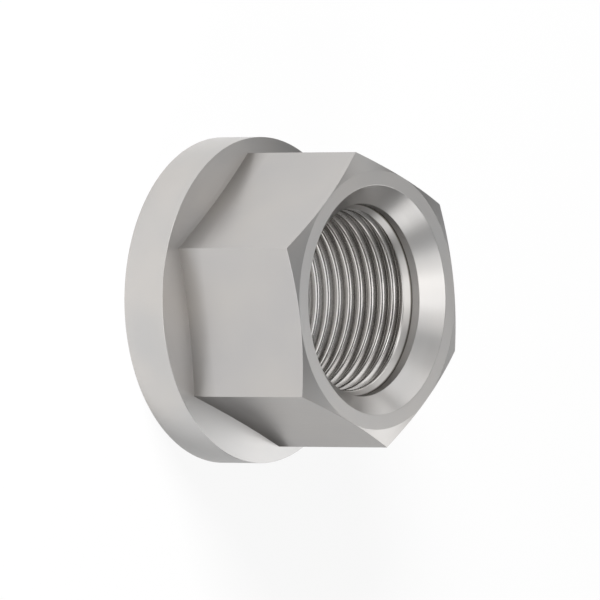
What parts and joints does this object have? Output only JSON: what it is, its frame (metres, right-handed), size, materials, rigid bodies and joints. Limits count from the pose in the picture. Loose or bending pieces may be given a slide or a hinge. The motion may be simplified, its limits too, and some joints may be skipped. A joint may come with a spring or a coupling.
{
  "type": "hex flange nut",
  "caption": "Tall hex nut with a round collar for a washer, chamfered corners and a fine internal thread behind a countersunk, recessed mouth.",
  "frame": {"origin": "centre of the flat bearing face under the collar, on the nut's axis; the nut stands on this face", "axes": "+Z along the nut's axis from the bearing face to the chamfered front face; +X through a corner of the hexagon"},
  "size_m": [0.024, 0.024, 0.0141],
  "materials": {
    "steel": "bright turned and milled steel, satin, unplated"
  },
  "bodies": {
    "root": {"nut": "steel"}
  },
  "joints": []
}
